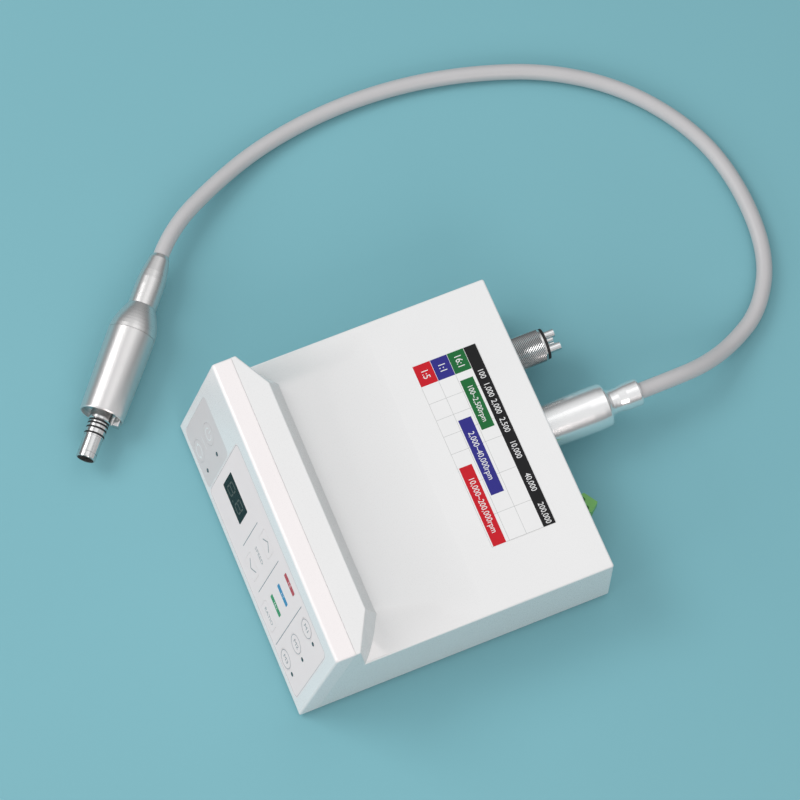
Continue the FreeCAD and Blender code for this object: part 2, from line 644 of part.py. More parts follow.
def stub_tubes():
    tubes = []
    for x, up, r, reach in unit_tube_spots():
        length = STUB_END + 1.2 + reach
        tube = rod(r, V(x, -up, -0.9), V(0, 0, 1), length + 0.9)
        tubes.append(on_port(tube.cut(rod(0.7 * r, V(x, -up, 2), V(0, 0, 1), 40)), UNIT_PORT))
    return group(tubes)


def hose_socket():
    """Panel socket that the hose plugs into, with a thin flange outside the wall."""
    body = lathe([(-12.0, 0), (-12.0, 8.0), (0.05, 8.0), (0.05, 9.0), (1.0, 9.0), (1.0, 8.0),
                  (14.0, 8.0), (14.0, 0)])
    return on_port(body, HOSE_PORT)


def socket_nut():
    nut = hexagon(22.0, -6.3, -WALL - 0.05).cut(rod(8.03, V(0, 0, -14), V(0, 0, 1), 20))
    return on_port(nut, HOSE_PORT)


COUPLING_END = 33.4
SLEEVE_END = 50.7


def coupling_nut():
    """Polished collar that turns on the socket and holds the hose end; it flares to a rounded end."""
    profile = [(1.3, 8.06), (1.3, 10.2), (1.7, 10.6), (12.0, 10.85), (24.0, 11.05), (30.0, 10.95),
               (32.4, 10.7), (33.1, 10.3), (COUPLING_END, 9.7), (COUPLING_END, 6.9), (30.9, 6.9), (30.9, 8.06)]
    return on_port(lathe(profile), HOSE_PORT)


def hose_end_sleeve():
    """Metal end of the hose: a hidden plug, a narrow waist and a flared grip."""
    profile = [(14.1, 0), (14.1, 7.9), (30.6, 7.9), (30.6, 6.6), (33.5, 6.6), (33.5, 7.6), (34.4, 6.9),
               (35.6, 6.35), (37.5, 6.05), (39.5, 6.05), (41.5, 6.35), (43.5, 6.65), (49.8, 6.8),
               (50.5, 6.5), (SLEEVE_END, 5.6), (SLEEVE_END, 0)]
    return on_port(lathe(profile), HOSE_PORT)


def terminal_socket():
    """Board-side half of the pluggable power terminal."""
    shell = box(31.6, 44.8, 70.0, HALF_D + 0.8, 10.0, 19.8)
    mouth = box(32.8, 43.6, 74.0, HALF_D + 5, 11.2, 18.6)
    pins = [rod(0.6, V(x, 73.5, 15.0), V(0, 1, 0), 5.0) for x in (35.6, 40.8)]
    return fuse([shell.cut(mouth)] + pins)


def terminal_plug():
    """Screw-terminal half, pushed into the socket; its wire faces are set at an angle."""
    plan = [(33.0, 78.8), (33.0, 86.2), (39.6, 90.4), (43.2, 86.2), (43.2, 78.8)]
    points = [V(x, y, 11.4) for x, y in plan]
    body = Part.Face(Part.makePolygon(points + [points[0]])).extrude(V(0, 0, 7.0))
    wire_holes = [rod(1.3, V(x, 83.5, 14.4), V(-0.54, 0.84, 0), 12) for x in (37.6, 41.2)]
    screw_holes = [rod(1.5, V(x, 83.9, 16.0), V(0, 0, 1), 8) for x in (35.9, 40.3)]
    return body.cut(wire_holes + screw_holes)


def speed_chart_label():
    """Printed film on the rear deck."""
    return slab(-49.3, 48.9, 30.8, 63.6, DECK_Z + 0.02, DECK_Z + 0.17, 0.4)


# ---- hose ------------------------------------------------------------------------------------------
HOSE_START_Y = HALF_D + SLEEVE_END
HOSE_ROUTE = [
    (HOSE_PORT_X, HOSE_START_Y, PORT_Z),
    (-3.8, 147.5, 21.0),
    (-6.4, 167.5, 14.8),
    (-14.0, 187.0, 6.8),
    (-26.2, 207.4, 4.0),
    (-51.2, 223.0, 4.0),
    (-88.7, 226.5, 4.0),
    (-125.8, 219.4, 4.0),
    (-162.2, 196.1, 4.0),
    (-187.1, 163.3, 4.0),
    (-201.0, 126.0, 4.0),
    (-208.5, 88.0, 4.0),
    (-209.3, 50.0, 4.0),
    (-203.2, 12.4, 4.6),
    (-190.6, -18.6, 8.0),
    (-174.5, -46.8, 11.92),
    (-162.2, -57.1, 11.92),
]


def hose():
    tube, length, radii = bent_tube([V(*spot) for spot in HOSE_ROUTE], HOSE_R)
    section = math.pi * HOSE_R ** 2
    print("hose length", round(length, 1), "volume ratio", round(tube.Volume / (section * length), 4))
    print("hose radii", [round(bend) for bend in radii])
    return tube


# ---- motor: local Z runs from the tail end (2) to the nose ---------------------------------------------
TAIL_LEN = 30.6
CAP_END = 46.0
FACE = 90.5
TIP = 113.7
SPIGOT_GROOVES = (94.2, 95.8, 98.05, 101.05)


def on_motor(shape):
    return placed(shape, MOTOR)


def motor_tail_nut():
    """Tapered sleeve that holds the hose end and screws onto the motor's rear cap."""
    profile = [(2.0, 2.95), (2.0, 4.3), (4.0, 5.2), (8.0, 5.9), (12.0, 6.6), (16.0, 7.05), (20.0, 7.15),
               (TAIL_LEN - 0.1, 7.15), (TAIL_LEN - 0.1, 4.05), (22.0, 4.05), (22.0, 2.95)]
    return on_motor(lathe(profile))


def motor_contact_plug():
    """Insulated plug on the hose end that carries the motor's three contacts."""
    body = lathe([(2.02, 0), (2.02, 2.9), (22.4, 2.9), (22.4, 3.95), (39.6, 3.95), (39.6, 0)])
    pins = [rod(0.5, V(2.0 * math.cos(a), 2.0 * math.sin(a), 39.5), V(0, 0, 1), 1.5)
            for a in [math.radians(120 * i) for i in range(3)]]
    return on_motor(fuse([body] + pins))


def motor_rear_cap():
    """Rounded rear end cap with the neck inside the tail nut and a lip inside the housing."""
    steps = 8
    dome = [(TAIL_LEN + (CAP_END - TAIL_LEN) * i / steps,
             7.2 + (MOTOR_R_REAR - 7.2) * math.sin(math.radians(90 * i / steps))) for i in range(steps + 1)]
    lip = [(CAP_END, 10.6), (48.5, 10.6), (48.5, 9.2), (43.0, 9.2), (43.0, 5.9), (46.0, 5.9), (46.0, 5.0),
           (43.3, 5.0), (43.3, 4.0)]
    return on_motor(lathe([(TAIL_LEN, 4.0), (TAIL_LEN, 7.0)] + dome + lip))


def motor_housing():
    """Brushed outer sleeve, slightly tapered towards the nose."""
    profile = [(CAP_END + 0.06, 10.65), (CAP_END + 0.06, MOTOR_R_REAR - 0.1), (CAP_END + 0.2, MOTOR_R_REAR),
               (60.0, 11.75), (FACE - 0.5, MOTOR_R_FRONT), (FACE, MOTOR_R_FRONT - 0.3), (FACE, 10.2),
               (84.0, 10.2), (84.0, 9.0), (49.2, 9.2), (48.6, 10.65)]
    return on_motor(lathe(profile))


def motor_spigot():
    """Front flange and the hollow coupling spigot, with four ring grooves."""
    outline = [(78.5, 5.0), (78.5, 8.9), (84.1, 8.9), (84.1, 10.15), (FACE - 2.2, 10.15), (FACE - 2.2, 5.6),
               (93.2, 5.6)]
    for groove in SPIGOT_GROOVES:
        outline += [(groove - 0.5, 5.1), (groove - 0.5, 4.3), (groove + 0.5, 4.3), (groove + 0.5, 5.1)]
    outline += [(102.2, 5.1), (102.2, 4.85), (110.6, 4.85), (110.6, 4.5), (111.0, 4.5), (111.0, 4.85),
                (TIP - 0.3, 4.85), (TIP, 4.6), (TIP, 4.2), (104.9, 4.2), (104.9, 2.6), (88.0, 2.6), (88.0, 5.0)]
    body = lathe(outline)
    lug_pocket = rod(1.1, V(0, -8.0, 86.0), V(0, 0, 1), 10)
    return on_motor(body.cut(lug_pocket))


def spigot_o_rings():
    return group([on_motor(torus(4.75, 0.45, spot)) for spot in SPIGOT_GROOVES])


def locating_lug():
    """Pin and head that keep a handpiece from turning on the spigot."""
    pin = rod(1.08, V(0, -8.0, 86.5), V(0, 0, 1), 5.0)
    head = slab(-2.2, 2.2, -10.0, -6.9, FACE - 2.18, FACE + 3.4, 0.6)
    return on_motor(fuse([pin, head]))


def stator_core():
    """Laminated ring with shallow slots in its bore."""
    core = ring(8.95, 5.3, 50.0, 74.0)
    slots = [rod(0.8, V(5.6 * math.cos(a), 5.6 * math.sin(a), 49), V(0, 0, 1), 26)
             for a in [math.radians(40 * i) for i in range(9)]]
    return on_motor(core.cut(slots))


def stator_windings():
    """Copper end turns at both ends of the core."""
    return group([on_motor(ring(8.4, 6.3, 46.2, 49.95)), on_motor(ring(8.4, 6.3, 74.05, 78.0))])


SHAFT_R = 2.0
BEARINGS = [(43.4, 46.0), (79.4, 82.6)]
DOG_START = 102.6        # end of the shaft, where its driver sits


def rotor_shaft():
    return on_motor(rod(SHAFT_R, V(0, 0, 42.2), V(0, 0, 1), DOG_START - 42.2))


def rotor_magnet():
    return on_motor(ring(4.6, SHAFT_R + 0.01, 51.0, 73.0))


def drive_dog():
    """Slotted driver at the end of the shaft, inside the spigot."""
    dog = rod(2.45, V(0, 0, DOG_START), V(0, 0, 1), 1.8).cut(box(-0.5, 0.5, -4, 4, DOG_START + 0.9, 108))
    return on_motor(dog)


def bearing_outer_races():
    rings = []
    for low, high in BEARINGS:
        seat = 5.0
        groove = torus(3.6, 0.85, (low + high) / 2)
        rings.append(on_motor(ring(seat, 4.15, low, high).cut(groove)))
    return group(rings)


def bearing_inner_races():
    rings = []
    for low, high in BEARINGS:
        groove = torus(3.6, 0.85, (low + high) / 2)
        rings.append(on_motor(ring(3.05, SHAFT_R, low, high).cut(groove)))
    return group(rings)


def bearing_balls():
    """Both ball sets with their thin cage rings, clear of the races."""
    sets = []
    for low, high in BEARINGS:
        middle = (low + high) / 2
        cage = ring(3.8, 3.37, middle - 0.35, middle + 0.35)
        balls = []
        for i in range(7):
            outward = V(math.cos(2 * math.pi * i / 7), math.sin(2 * math.pi * i / 7), 0)
            balls.append(Part.makeSphere(0.72, outward * 3.6 + V(0, 0, middle), outward))
        sets.append(on_motor(cage.fuse(balls)))
    return group(sets)


# ---- export ------------------------------------------------------------------------------------------
NODES = {
    "upper_housing": upper_housing,
    "front_bezel": front_bezel,
    "base_plate": base_plate,
    "rubber_feet": rubber_feet,
    "base_screws": base_screws,
    "panel_film_light": lambda: film(LIGHT_FILM),
    "panel_film_grey": lambda: film(GREY_FILM),
    "display_window": display_window,
    "display_module": display_module,
    "indicator_leds": indicator_leds,
    "keypad_board": keypad_board,
    "tactile_switches": tactile_switches,
    "board_screws": board_screws,
    "speed_chart_label": speed_chart_label,
    "main_board": main_board,
    "heat_sink": heat_sink,
    "driver_chips": driver_chips,
    "power_capacitors": power_capacitors,
    "ribbon_cable": ribbon_cable,
    "air_manifold": air_manifold,
    "solenoid_valves": solenoid_valves,
    "pressure_sensor": pressure_sensor,
    "internal_tubes": internal_tubes,
    "stub_body": stub_body,
    "stub_nut": stub_nut,
    "stub_gasket": stub_gasket,
    "stub_tubes": stub_tubes,
    "hose_socket": hose_socket,
    "socket_nut": socket_nut,
    "coupling_nut": coupling_nut,
    "hose_end_sleeve": hose_end_sleeve,
    "terminal_socket": terminal_socket,
    "terminal_plug": terminal_plug,
    "hose": hose,
    "motor_tail_nut": motor_tail_nut,
    "motor_contact_plug": motor_contact_plug,
    "motor_rear_cap": motor_rear_cap,
    "motor_housing": motor_housing,
    "motor_spigot": motor_spigot,
    "spigot_o_rings": spigot_o_rings,
    "locating_lug": locating_lug,
    "stator_core": stator_core,
    "stator_windings": stator_windings,
    "rotor_shaft": rotor_shaft,
    "rotor_magnet": rotor_magnet,
    "drive_dog": drive_dog,
    "bearing_outer_races": bearing_outer_races,
    "bearing_inner_races": bearing_inner_races,
    "bearing_balls": bearing_balls,
}


def main():
    os.makedirs("parts", exist_ok=True)
    for name, make in NODES.items():
        make().exportStep(f"parts/{name}.step")
    for name in key_names():
        key(name).exportStep(f"parts/{name}.step")
    for name, spot in RATIO_BARS.items():
        ratio_lens(spot).exportStep(f"parts/{name}.step")


main()
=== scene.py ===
"""Looks of the electric dental micromotor set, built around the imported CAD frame.

The scene is in metres, and outlines, lettering and the shared dimensions are given in mm.
"""

import json
import math

import bmesh
import bpy
from mathutils import Matrix, Vector


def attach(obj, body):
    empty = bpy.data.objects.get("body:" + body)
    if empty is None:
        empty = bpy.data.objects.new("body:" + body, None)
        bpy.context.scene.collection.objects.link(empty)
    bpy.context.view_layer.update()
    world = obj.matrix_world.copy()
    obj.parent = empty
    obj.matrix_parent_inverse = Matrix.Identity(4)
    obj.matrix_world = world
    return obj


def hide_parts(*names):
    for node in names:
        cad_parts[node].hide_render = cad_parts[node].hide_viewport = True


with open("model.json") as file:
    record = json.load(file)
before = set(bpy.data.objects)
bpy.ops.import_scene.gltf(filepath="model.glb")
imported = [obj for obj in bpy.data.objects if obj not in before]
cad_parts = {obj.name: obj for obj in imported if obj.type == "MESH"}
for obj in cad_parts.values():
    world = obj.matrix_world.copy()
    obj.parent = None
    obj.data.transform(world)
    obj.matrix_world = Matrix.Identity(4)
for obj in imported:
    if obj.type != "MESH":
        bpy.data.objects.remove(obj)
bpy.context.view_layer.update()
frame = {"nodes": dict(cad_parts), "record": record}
NODES = frame["nodes"]
MM = 0.001

# ---- shared dimensions in mm, as in the CAD model ----------------------------------------------
HALF_D = 80.3                     # footprint's centre to the rear wall, and to the panel plane's foot
DECK_Z = 42.4
RIDGE_Z = 63.2
PANEL_RUN = 21.0                  # how far the panel plane leans back between the foot and the ridge
LEAN = math.atan2(PANEL_RUN, RIDGE_Z)
FILM_TOP = -0.1                   # faces of the films, keys and window, from the panel plane
PORT_Z = 21.0
UNIT_PORT_X = -44.0
HEADING = math.radians(-39.8)     # motor's axis in the XY plane

# ---- camera ------------------------------------------------------------------------------------
SENSOR_WIDTH = 36.0
FOCAL_LENGTH = 145.67
CAMERA_PLACE = (0.4770, -0.1914, 1.4817)
CAMERA_RIGHT = Vector((0.37975, 0.92509, 0.0))
CAMERA_BACK = Vector((0.33260, -0.13653, 0.93313))

camera_data = bpy.data.cameras.new("camera")
camera_data.sensor_width = SENSOR_WIDTH
camera_data.lens = FOCAL_LENGTH
camera_data.clip_end = 20.0
camera = bpy.data.objects.new("camera", camera_data)
bpy.context.scene.collection.objects.link(camera)
axes = Matrix((CAMERA_RIGHT, CAMERA_BACK.cross(CAMERA_RIGHT), CAMERA_BACK))
camera.matrix_world = Matrix.Translation(CAMERA_PLACE) @ axes.transposed().to_4x4()
bpy.context.scene.camera = camera


# ---- materials ---------------------------------------------------------------------------------
NOISE_LOW, NOISE_HIGH = 0.3, 0.7      # most of a noise texture's values lie between these
LOWEST_ROUGHNESS = 0.02


def new_material(name, colour, roughness, metallic=0.0, coat=0.0, specular=0.5, grain=0.0,
                 grain_size=0.3, tone=0.03, tone_size=20.0, stretch=None, rough_spread=0.05,
                 coat_rough=0.1):
    """Principled material with fine surface grain, slow tone variation and uneven roughness.

    grain is the bump height in mm, grain_size and tone_size are in mm, and stretch is the heading of
    an axis in the XY plane and the (along, across) lengths that the grain is drawn out to.
    """
    material = bpy.data.materials.new(name)
    material.use_nodes = True
    tree = material.node_tree
    shader = tree.nodes["Principled BSDF"]
    shader.inputs["Metallic"].default_value = metallic
    shader.inputs["Coat Weight"].default_value = coat
    shader.inputs["Coat Roughness"].default_value = coat_rough
    shader.inputs["Specular IOR Level"].default_value = specular
    coords = tree.nodes.new("ShaderNodeTexCoord").outputs["Object"]
    drawn = coords
    if stretch:
        heading, along, across = stretch
        mapping = tree.nodes.new("ShaderNodeMapping")
        mapping.vector_type = "TEXTURE"
        mapping.inputs["Rotation"].default_value = (0, 0, heading)
        mapping.inputs["Scale"].default_value = (along, across, across)
        tree.links.new(coords, mapping.inputs["Vector"])
        drawn = mapping.outputs["Vector"]

    def noise(source, size_mm, detail):
        node = tree.nodes.new("ShaderNodeTexNoise")
        node.inputs["Scale"].default_value = 1.0 / (size_mm * MM)
        node.inputs["Detail"].default_value = detail
        tree.links.new(source, node.inputs["Vector"])
        return node.outputs["Fac"]

    def spread(source, low, high):
        node = tree.nodes.new("ShaderNodeMapRange")
        node.inputs["From Min"].default_value = NOISE_LOW
        node.inputs["From Max"].default_value = NOISE_HIGH
        node.inputs["To Min"].default_value = low
        node.inputs["To Max"].default_value = high
        tree.links.new(source, node.inputs["Value"])
        return node.outputs["Result"]

    ramp = tree.nodes.new("ShaderNodeMix")
    ramp.data_type = "RGBA"
    ramp.inputs["A"].default_value = [c * (1 - tone) for c in colour] + [1.0]
    ramp.inputs["B"].default_value = [min(c * (1 + tone), 1.0) for c in colour] + [1.0]
    tree.links.new(spread(noise(coords, tone_size, 3.0), 0.0, 1.0), ramp.inputs["Factor"])
    tree.links.new(ramp.outputs["Result"], shader.inputs["Base Color"])
    fine = noise(drawn, grain_size, 2.0)
    smoothest = max(roughness - rough_spread, LOWEST_ROUGHNESS)
    tree.links.new(spread(fine, smoothest, roughness + rough_spread), shader.inputs["Roughness"])
    if grain > 0:
        bump = tree.nodes.new("ShaderNodeBump")
        bump.inputs["Strength"].default_value = 0.6
        bump.inputs["Distance"].default_value = grain * MM
        tree.links.new(fine, bump.inputs["Height"])
        tree.links.new(bump.outputs["Normal"], shader.inputs["Normal"])
    return material


def turned(name, colour, roughness, heading, grain=0.0006, metallic=1.0):
    """Turned metal: fine rings round an axis that lies in the XY plane at the given heading."""
    ring_width, ring_run = 0.14, 14.0
    return new_material(name, colour, roughness, metallic=metallic, grain=grain, grain_size=1.0,
                        tone=0.01, tone_size=30, stretch=(heading, ring_width, ring_run),
                        rough_spread=0.03)


def white_plastic(name, colour):
    return new_material(name, colour, 0.30, coat=0.7, coat_rough=0.06, grain=0.004, grain_size=0.35,
                        tone=0.012, tone_size=60)


def lens_plastic(name, colour):
    return new_material(name, colour, 0.28, coat=0.3, tone=0.05, tone_size=3)


looks = {
    "housing": white_plastic("white_abs", (0.81, 0.81, 0.805)),
    "base_plastic": new_material("base_abs", (0.70, 0.70, 0.69), 0.5, grain=0.02, grain_size=0.5, tone=0.02),
    "foot_rubber": new_material("black_rubber", (0.025, 0.025, 0.026), 0.75, grain=0.02, grain_size=0.4),
    "screw_steel": new_material("zinc_steel", (0.55, 0.55, 0.54), 0.35, metallic=1.0, grain=0.003),
    # the two films' warm tints are painted: they cancel the floor's teal bounce light on the front panel
    "film_light": new_material("light_film", (0.915, 0.80, 0.79), 0.42, grain=0.004, grain_size=0.25,
                               tone=0.01),
    "film_grey": new_material("grey_film", (0.705, 0.645, 0.643), 0.45, grain=0.004, grain_size=0.25,
                              tone=0.015),
    "window_dark": new_material("dark_window", (0.007, 0.013, 0.011), 0.25, specular=0.12, tone=0.1),
    "display_black": new_material("display_body", (0.02, 0.025, 0.022), 0.4),
    "led_clear": new_material("led_lens", (0.035, 0.037, 0.04), 0.22, coat=0.4, tone=0.05, tone_size=1.0),
    "ratio_red": lens_plastic("red_lens", (0.52, 0.02, 0.035)),
    "ratio_blue": lens_plastic("blue_lens", (0.025, 0.25, 0.50)),
    "ratio_green": lens_plastic("green_lens", (0.03, 0.30, 0.10)),
    "chart_film": new_material("chart_film", (0.825, 0.825, 0.82), 0.36, coat=0.1, grain=0.003, tone=0.01),
    "board_green": new_material("solder_mask", (0.015, 0.12, 0.045), 0.35, coat=0.3, tone=0.15,
                                tone_size=2),
    "component_black": new_material("moulded_black", (0.02, 0.02, 0.02), 0.55, grain=0.01),
    "sink_aluminium": new_material("milled_aluminium", (0.70, 0.71, 0.72), 0.38, metallic=1.0,
                                   grain=0.006),
    "cable_grey": new_material("ribbon_pvc", (0.36, 0.36, 0.38), 0.5, grain=0.05, grain_size=0.6,
                               stretch=(0, 0.4, 10.0)),
    "valve_steel": new_material("valve_steel", (0.5, 0.5, 0.5), 0.35, metallic=1.0, grain=0.004),
    "tube_silicone": new_material("clear_silicone", (0.68, 0.68, 0.65), 0.35, tone=0.03),
    "plated_brass": new_material("nickel_plate", (0.72, 0.71, 0.70), 0.17, metallic=1.0, grain=0.003,
                                 tone=0.05, tone_size=3),
    "gasket_rubber": new_material("gasket_rubber", (0.012, 0.012, 0.012), 0.6, grain=0.01),
    "tube_steel": new_material("bright_tube", (0.78, 0.78, 0.78), 0.16, metallic=1.0, tone=0.04,
                               tone_size=2),
    "coupling_satin": turned("satin_coupling", (0.96, 0.95, 0.945), 0.24, math.radians(90),
                             metallic=0.85),
    "terminal_black": new_material("terminal_black", (0.02, 0.02, 0.02), 0.5, grain=0.01),
    "terminal_green": new_material("terminal_green", (0.16, 0.46, 0.10), 0.38, coat=0.1, grain=0.01,
                                   tone=0.05),
    "hose_silicone": new_material("grey_silicone", (0.53, 0.52, 0.525), 0.42, coat=0.12, coat_rough=0.3,
                                  grain=0.01, grain_size=0.8, tone=0.02, tone_size=25),
    "motor_satin": turned("satin_motor", (0.74, 0.72, 0.71), 0.30, HEADING, grain=0.0003, metallic=0.9),
    "motor_brushed": turned("brushed_motor", (0.73, 0.71, 0.70), 0.32, HEADING, grain=0.0005,
                            metallic=0.9),
    "spigot_polished": turned("polished_spigot", (0.66, 0.655, 0.65), 0.14, HEADING, grain=0.001,
                              metallic=0.95),
    "contact_plastic": new_material("contact_plastic", (0.03, 0.03, 0.03), 0.5),
    "lamination_steel": new_material("laminations", (0.22, 0.22, 0.23), 0.5, metallic=0.8, grain=0.02),
    "copper_winding": new_material("copper_winding", (0.55, 0.20, 0.08), 0.35, metallic=1.0, grain=0.05),
    "shaft_steel": new_material("ground_shaft", (0.6, 0.6, 0.6), 0.2, metallic=1.0),
    "magnet_dark": new_material("magnet", (0.1, 0.1, 0.11), 0.4, metallic=0.7),
    "bearing_steel": new_material("bearing_steel", (0.62, 0.62, 0.63), 0.15, metallic=1.0),
}
# the front bezel faces the blue-green floor, so its slightly warm copy of the housing's white is a painted
# tint that cancels the floor's teal bounce light
bounce_tinted_white = white_plastic("white_abs_front_bounce_tint", (0.90, 0.855, 0.85))
slot_of = {part["node"]: part["material_slot"] for part in frame["record"]["subparts"]}
for node, thing in NODES.items():
    thing.data.materials.clear()
    thing.data.materials.append(bounce_tinted_white if node == "front_bezel" else looks[slot_of[node]])

ink_white = new_material("ink_white", (0.80, 0.80, 0.80), 0.5, tone=0.02)
ink_grey = new_material("ink_grey", (0.27, 0.28, 0.30), 0.5, tone=0.05, tone_size=4)
ink_pale = new_material("ink_pale", (0.42, 0.42, 0.43), 0.5, tone=0.03, tone_size=4)
ink_black = new_material("ink_black", (0.016, 0.016, 0.017), 0.45, specular=0.1, tone=0.06, tone_size=6)
ink_red = new_material("ink_red", (0.56, 0.008, 0.018), 0.45, specular=0.2, tone=0.03, tone_size=6)
ink_blue = new_material("ink_blue", (0.028, 0.025, 0.23), 0.45, specular=0.2, tone=0.04, tone_size=6)
ink_green = new_material("ink_green", (0.010, 0.14, 0.035), 0.45, specular=0.2, tone=0.05, tone_size=6)
ink_line = new_material("ink_line", (0.50, 0.51, 0.50), 0.45, tone=0.03, tone_size=5)
segment_dim = new_material("segment_dim", (0.085, 0.10, 0.09), 0.40, specular=0.12, tone=0.05,
                           tone_size=2)


# ---- piece builders ----------------------------------------------------------------------------
def add_piece(name, mesh, body, materials):
    """Puts a mesh into the scene on a body; faces pick from the materials by their index."""
    piece = bpy.data.objects.new(name, mesh)
    bpy.context.scene.collection.objects.link(piece)
    for material in materials:
        mesh.materials.append(material)
    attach(piece, body)


def prism(bm, outline, low, high, ink=0):
    """Closed prism over a counter-clockwise outline given in mm."""
    under = [bm.verts.new((x * MM, y * MM, low * MM)) for x, y in outline]
    over = [bm.verts.new((x * MM, y * MM, high * MM)) for x, y in outline]
    faces = [bm.faces.new(over), bm.faces.new(under[::-1])]
    count = len(outline)
    for i in range(count):
        j = (i + 1) % count
        faces.append(bm.faces.new((under[i], under[j], over[j], over[i])))
    for face in faces:
        face.material_index = ink


def bar(x0, x1, y0, y1):
    """Outline of an upright rectangle."""
    return [(x0, y0), (x1, y0), (x1, y1), (x0, y1)]


def stroke(start, end, width):
    """Outline of a straight line of the given width."""
    along = Vector(end) - Vector(start)
    side = Vector((-along.y, along.x)).normalized() * width / 2
    a, b = Vector(start), Vector(end)
    return [tuple(a - side), tuple(b - side), tuple(b + side), tuple(a + side)]


def arc_band(bm, centre, radius, width, start, end, low, high, ink=0, steps=40):
    """Curved band as a row of short prisms that share their ends."""
    cx, cy = centre
    inner, outer = radius - width / 2, radius + width / 2
    closed = abs(end - start) >= 359.9
    rows = []
    for i in range(steps + (0 if closed else 1)):
        a = math.radians(start + (end - start) * i / steps)
        c, s = math.cos(a), math.sin(a)
        rows.append([bm.verts.new(((cx + r * c) * MM, (cy + r * s) * MM, z * MM))
                     for r, z in ((inner, low), (outer, low), (outer, high), (inner, high))])
    for i in range(steps):
        a, b = rows[i], rows[(i + 1) % len(rows)]
        for j in range(4):
            k = (j + 1) % 4
            bm.faces.new((a[j], a[k], b[k], b[j])).material_index = ink
    if not closed:
        bm.faces.new(rows[0][::-1]).material_index = ink
        bm.faces.new(rows[-1]).material_index = ink


def text_into(bm, words, size, centre, low, high, ink=0, squeeze=1.0, weight=0.0):
    """Adds raised lettering, centred, as a closed mesh; sizes in mm, and squeeze narrows it."""
    curve = bpy.data.curves.new("lettering", "FONT")
    curve.body = words
    curve.size = size * MM
    curve.align_x = "CENTER"
    curve.align_y = "CENTER"
    curve.extrude = (high - low) / 2 * MM
    curve.offset = weight * MM
    curve.resolution_u = 3
    holder = bpy.data.objects.new("lettering", curve)
    mesh = bpy.data.meshes.new_from_object(holder)
    place = Matrix.Translation((centre[0] * MM, centre[1] * MM, (low + high) / 2 * MM))
    mesh.transform(place @ Matrix.Diagonal((squeeze, 1, 1, 1)))
    first = len(bm.faces)
    bm.from_mesh(mesh)
    bm.faces.ensure_lookup_table()
    for face in bm.faces[first:]:
        face.material_index = ink
    bpy.data.meshes.remove(mesh)
    bpy.data.objects.remove(holder)
    bpy.data.curves.remove(curve)


def finish_mesh(bm, name, matrix=None):
    """Turns a bmesh into a mesh with its normals outward, moved by the matrix if there is one."""
    bmesh.ops.recalc_face_normals(bm, faces=bm.faces)
    mesh = bpy.data.meshes.new(name)
    bm.to_mesh(mesh)
    bm.free()
    if matrix is not None:
        mesh.transform(matrix)
    return mesh


# from panel coordinates (u along the panel, s up it, and out of it) to the frame's
PANEL = Matrix((
    (1, 0, 0, 0),
    (0, math.sin(LEAN), -math.cos(LEAN), -HALF_D * MM),
    (0, math.cos(LEAN), math.sin(LEAN), 0),
    (0, 0, 0, 1)))

# ---- hose --------------------------------------------------------------------------------------
HOSE_RADIUS = 0.004
HOSE_ROUTE = [
    (-0.0038, 0.1310, 0.0210),
    (-0.0038, 0.1475, 0.0210),
    (-0.0064, 0.1675, 0.0148),
    (-0.0140, 0.1870, 0.0068),
    (-0.0262, 0.2074, 0.0040),
    (-0.0512, 0.2230, 0.0040),
    (-0.0887, 0.2265, 0.0040),
    (-0.1258, 0.2194, 0.0040),
    (-0.1622, 0.1961, 0.0040),
    (-0.1871, 0.1633, 0.0040),
    (-0.2010, 0.1260, 0.0040),
    (-0.2085, 0.0880, 0.0040),
    (-0.2093, 0.0500, 0.0040),
    (-0.2032, 0.0124, 0.0046),
    (-0.1906, -0.0186, 0.0080),
    (-0.1745, -0.0468, 0.01192),
    (-0.1622, -0.0571, 0.01192),
]
hose_curve = bpy.data.curves.new("hose_visual", "CURVE")
hose_curve.dimensions = "3D"
spline = hose_curve.splines.new("NURBS")
spline.points.add(len(HOSE_ROUTE) - 1)
for point, spot in zip(spline.points, HOSE_ROUTE):
    point.co = (*spot, 1.0)
spline.order_u = 3
spline.use_endpoint_u = True
spline.resolution_u = 10
hose_curve.bevel_depth = HOSE_RADIUS
hose_curve.bevel_resolution = 10
hose = bpy.data.objects.new("hose_visual", hose_curve)
bpy.context.scene.collection.objects.link(hose)
hose_curve.materials.append(looks["hose_silicone"])
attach(hose, "unit")
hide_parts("hose")

# ---- front panel printing ----------------------------------------------------------------------
PRINT_LOW = FILM_TOP
PRINT_HIGH = FILM_TOP + 0.03
LIGHT_FILM = (-41.0, 72.5, 6.0, 58.7)         # its edges: u from, u to, s from, s to
POWER_KEY = (-59.3, 30.9)                     # centres of the grey film's two keys, (u, s)
DIRECTION_KEY = (-59.3, 12.7)
RATIO_U = 31.6                                # middle of the ratio key and the three lenses
RATIO_KEY_S = 14.0
MEMORY_U = 54.1                               # middle of the three memory keys
CHEVRON_WIDTH = 0.55


def panel_piece(name, body, materials, draw):
    """Printing on the front panel, drawn in panel coordinates."""
    bm = bmesh.new()
    draw(bm)
    add_piece(name, finish_mesh(bm, name, PANEL), body, materials)


def chevron(*points):
    """Drawing of a bent line through the points."""
    def draw(bm):
        for start, end in zip(points, points[1:]):
            prism(bm, stroke(start, end, CHEVRON_WIDTH), PRINT_LOW, PRINT_HIGH)
    return draw


